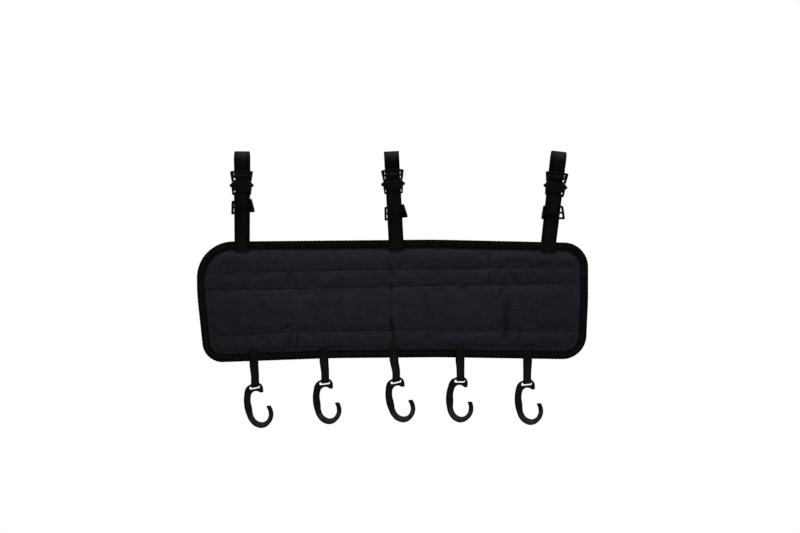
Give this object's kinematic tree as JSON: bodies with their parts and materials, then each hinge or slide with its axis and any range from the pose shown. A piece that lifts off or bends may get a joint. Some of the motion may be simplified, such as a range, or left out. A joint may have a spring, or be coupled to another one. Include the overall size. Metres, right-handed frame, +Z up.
{
  "type": "hanging panel with hooks",
  "caption": "Padded fabric panel with a bound edge that hangs from a pole by buckled webbing loops and carries a row of swinging plastic hooks on webbing tabs along its lower edge.",
  "frame": {"origin": "on the axis of the pole that the strap loops hang on, above the middle of the panel's width", "axes": "+X to the right along the pole and the panel's width, -Y out of the panel's front face, +Z up"},
  "size_m": [0.5187, 0.0252, 0.3681],
  "materials": {
    "rib_cloth": "charcoal polyester with fine horizontal ribs",
    "pad_foam": "grey sheet foam",
    "binding_tape": "black folded tape, stitched",
    "webbing_weave": "black woven webbing",
    "black_plastic": "black moulded, satin"
  },
  "bodies": {
    "panel": {"front_cover": "rib_cloth", "back_cover": "rib_cloth", "foam_core": "pad_foam", "edge_binding": "binding_tape", "left_front_strap": "webbing_weave", "left_loop_strap": "webbing_weave", "left_buckle_socket": "black_plastic", "middle_front_strap": "webbing_weave", "middle_loop_strap": "webbing_weave", "middle_buckle_socket": "black_plastic", "right_front_strap": "webbing_weave", "right_loop_strap": "webbing_weave", "right_buckle_socket": "black_plastic", "hook_tab_foot_1": "webbing_weave", "hook_tab_foot_2": "webbing_weave", "hook_tab_foot_3": "webbing_weave", "hook_tab_foot_4": "webbing_weave", "hook_tab_foot_5": "webbing_weave"},
    "left_slider": {"left_slider": "black_plastic"},
    "left_plug": {"left_buckle_plug": "black_plastic"},
    "left_left_arm": {"left_buckle_left_arm": "black_plastic"},
    "left_right_arm": {"left_buckle_right_arm": "black_plastic"},
    "middle_slider": {"middle_slider": "black_plastic"},
    "middle_plug": {"middle_buckle_plug": "black_plastic"},
    "middle_left_arm": {"middle_buckle_left_arm": "black_plastic"},
    "middle_right_arm": {"middle_buckle_right_arm": "black_plastic"},
    "right_slider": {"right_slider": "black_plastic"},
    "right_plug": {"right_buckle_plug": "black_plastic"},
    "right_left_arm": {"right_buckle_left_arm": "black_plastic"},
    "right_right_arm": {"right_buckle_right_arm": "black_plastic"},
    "tab_1": {"hook_tab_1": "webbing_weave"},
    "hook_1": {"hook_1": "black_plastic"},
    "tab_2": {"hook_tab_2": "webbing_weave"},
    "hook_2": {"hook_2": "black_plastic"},
    "tab_3": {"hook_tab_3": "webbing_weave"},
    "hook_3": {"hook_3": "black_plastic"},
    "tab_4": {"hook_tab_4": "webbing_weave"},
    "hook_4": {"hook_4": "black_plastic"},
    "tab_5": {"hook_tab_5": "webbing_weave"},
    "hook_5": {"hook_5": "black_plastic"}
  },
  "joints": [
    {"name": "left_slider_slide", "type": "slide", "parent": "panel", "child": "left_slider", "axis": [0, -0.1045, 0.9945], "range_m": [-0.033, 0]},
    {"name": "left_plug_slide", "type": "slide", "parent": "panel", "child": "left_plug", "axis": [0, -0.1045, 0.9945], "range_m": [0, 0.012], "deforming": ["left_loop_strap"]},
    {"name": "left_right_arm_hinge", "type": "hinge", "parent": "left_plug", "child": "left_right_arm", "pos_m": [-0.1903, -0.0086, -0.02992], "axis": [0, 0.9945, 0.1045], "range_deg": [0, 12], "stiffness_Nm_per_rad": 0.02},
    {"name": "left_left_arm_hinge", "type": "hinge", "parent": "left_plug", "child": "left_left_arm", "pos_m": [-0.2103, -0.0086, -0.02992], "axis": [0, 0.9945, 0.1045], "range_deg": [-12, 0], "stiffness_Nm_per_rad": 0.02},
    {"name": "middle_slider_slide", "type": "slide", "parent": "panel", "child": "middle_slider", "axis": [-0.052, -0.1045, 0.9932], "range_m": [-0.0235, 0.009]},
    {"name": "middle_plug_slide", "type": "slide", "parent": "panel", "child": "middle_plug", "axis": [-0.052, -0.1045, 0.9932], "range_m": [0, 0.012], "deforming": ["middle_loop_strap"]},
    {"name": "middle_right_arm_hinge", "type": "hinge", "parent": "middle_plug", "child": "middle_right_arm", "pos_m": [0.00992, -0.0086, -0.02763], "axis": [-0.0055, 0.9945, 0.1044], "range_deg": [0, 12], "stiffness_Nm_per_rad": 0.02},
    {"name": "middle_left_arm_hinge", "type": "hinge", "parent": "middle_plug", "child": "middle_left_arm", "pos_m": [-0.01005, -0.0086, -0.02867], "axis": [-0.0055, 0.9945, 0.1044], "range_deg": [-12, 0], "stiffness_Nm_per_rad": 0.02},
    {"name": "right_slider_slide", "type": "slide", "parent": "panel", "child": "right_slider", "axis": [0.1126, -0.1045, 0.9881], "range_m": [-0.0265, 0.006]},
    {"name": "right_plug_slide", "type": "slide", "parent": "panel", "child": "right_plug", "axis": [0.1126, -0.1045, 0.9881], "range_m": [0, 0.012], "deforming": ["right_loop_strap"]},
    {"name": "right_right_arm_hinge", "type": "hinge", "parent": "right_plug", "child": "right_right_arm", "pos_m": [0.22532, -0.0086, -0.03261], "axis": [0.0118, 0.9945, 0.1039], "range_deg": [0, 12], "stiffness_Nm_per_rad": 0.02},
    {"name": "right_left_arm_hinge", "type": "hinge", "parent": "right_plug", "child": "right_left_arm", "pos_m": [0.20545, -0.0086, -0.03035], "axis": [0.0118, 0.9945, 0.1039], "range_deg": [-12, 0], "stiffness_Nm_per_rad": 0.02},
    {"name": "tab_1_hinge", "type": "hinge", "parent": "panel", "child": "tab_1", "pos_m": [-0.1844, -0.0035, -0.2672], "axis": [1, 0, 0], "range_deg": [-60, 60]},
    {"name": "hook_1_hinge", "type": "hinge", "parent": "tab_1", "child": "hook_1", "pos_m": [-0.1829, -0.0035, -0.2974], "axis": [0.9833, 0, 0.1822], "range_deg": [-75, 75]},
    {"name": "tab_2_hinge", "type": "hinge", "parent": "panel", "child": "tab_2", "pos_m": [-0.0915, -0.0035, -0.26389], "axis": [1, 0, 0], "range_deg": [-60, 60]},
    {"name": "hook_2_hinge", "type": "hinge", "parent": "tab_2", "child": "hook_2", "pos_m": [-0.0899, -0.0035, -0.29189], "axis": [0.9936, 0, 0.1132], "range_deg": [-75, 75]},
    {"name": "tab_3_hinge", "type": "hinge", "parent": "panel", "child": "tab_3", "pos_m": [0.0013, -0.0035, -0.26274], "axis": [1, 0, 0], "range_deg": [-60, 60]},
    {"name": "hook_3_hinge", "type": "hinge", "parent": "tab_3", "child": "hook_3", "pos_m": [0.0043, -0.0035, -0.29014], "axis": [0.9781, 0, 0.2079], "range_deg": [-75, 75]},
    {"name": "tab_4_hinge", "type": "hinge", "parent": "panel", "child": "tab_4", "pos_m": [0.0889, -0.0035, -0.26263], "axis": [1, 0, 0], "range_deg": [-60, 60]},
    {"name": "hook_4_hinge", "type": "hinge", "parent": "tab_4", "child": "hook_4", "pos_m": [0.0895, -0.0035, -0.28923], "axis": [1, 0, 0], "range_deg": [-75, 75]},
    {"name": "tab_5_hinge", "type": "hinge", "parent": "panel", "child": "tab_5", "pos_m": [0.1784, -0.0035, -0.26407], "axis": [1, 0, 0], "range_deg": [-60, 60]},
    {"name": "hook_5_hinge", "type": "hinge", "parent": "tab_5", "child": "hook_5", "pos_m": [0.1779, -0.0035, -0.29287], "axis": [0.9945, 0, 0.1045], "range_deg": [-75, 75]}
  ]
}
